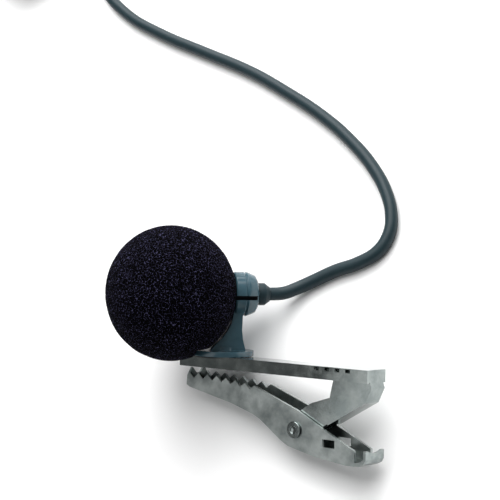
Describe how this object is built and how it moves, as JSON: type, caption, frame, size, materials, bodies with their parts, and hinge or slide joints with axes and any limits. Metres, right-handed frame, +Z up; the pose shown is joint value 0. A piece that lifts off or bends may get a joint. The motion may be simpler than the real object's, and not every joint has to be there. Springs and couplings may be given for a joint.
{
  "type": "lavalier microphone",
  "caption": "Clip-on lavalier microphone with a foam ball windscreen, a swivelling holder on a toothed spring clip, and a thin coiled lead with a 3.5 mm plug.",
  "frame": {"origin": "centre of the underside of the box round the microphone and its clip, as they lie on a table; the cord and its plug are left out of that box", "axes": "+Z up from the table, +X from the jaw tips towards the clip's tail, +Y towards the cord"},
  "size_m": [0.1422, 0.1311, 0.0271],
  "materials": {
    "clip_steel": "polished nickel plating",
    "bright_metal": "bright nickel plating",
    "black_metal": "black anodised",
    "black_felt": "matt felt",
    "gold_film": "metallised film",
    "brass": "drawn",
    "circuit_board": "solder mask",
    "black_rubber": "matt moulded",
    "solder": "bright solder",
    "wire_insulation": "smooth",
    "cord_jacket": "satin extruded",
    "holder_plastic": "glossy moulded",
    "black_strap": "woven",
    "black_plastic": "satin moulded",
    "foam": "open-cell foam",
    "spring_steel": "drawn wire"
  },
  "bodies": {
    "microphone": {"housing": "black_metal", "front_grille": "bright_metal", "dust_felt": "black_felt", "capsule_can": "bright_metal", "capsule_diaphragm": "gold_film", "capsule_backplate": "brass", "capsule_board": "circuit_board", "capsule_gasket": "black_rubber", "solder_joints": "solder", "signal_wires": "wire_insulation", "cable_clamp": "bright_metal", "inner_cable": "cord_jacket", "rear_cap": "holder_plastic", "strain_boot": "cord_jacket", "cord_run": "cord_jacket", "cord_coil": "cord_jacket", "cord_ties": "black_strap", "cord_tail": "cord_jacket", "plug_boot": "black_rubber", "plug_barrel": "black_plastic", "plug_sleeve": "bright_metal", "plug_insulator": "black_plastic", "plug_tip": "bright_metal", "mic_holder": "holder_plastic", "swivel_rivet": "bright_metal"},
    "windscreen": {"windscreen_foam": "foam"},
    "upper_clip": {"upper_jaw": "clip_steel", "spring_washer": "bright_metal", "pivot_pin": "clip_steel", "torsion_spring": "spring_steel"},
    "lower_clip": {"lower_jaw": "clip_steel"}
  },
  "joints": [
    {"name": "windscreen_slide", "type": "slide", "parent": "microphone", "child": "windscreen", "axis": [-0.6861, -0.3291, 0.6489], "range_m": [0, 0.012]},
    {"name": "clip_swivel", "type": "hinge", "parent": "microphone", "child": "upper_clip", "pos_m": [-0.00781, -0.00164, 0.00526], "axis": [-0.0573, 0.9135, 0.4027], "range_deg": [-70, 2]},
    {"name": "jaw_hinge", "type": "hinge", "parent": "upper_clip", "child": "lower_clip", "pos_m": [0.01122, -0.01151, 0.00353], "axis": [-0.1287, -0.4067, 0.9044], "range_deg": [0, 20], "stiffness_Nm_per_rad": 0.03, "springref_deg": -28.65}
  ]
}
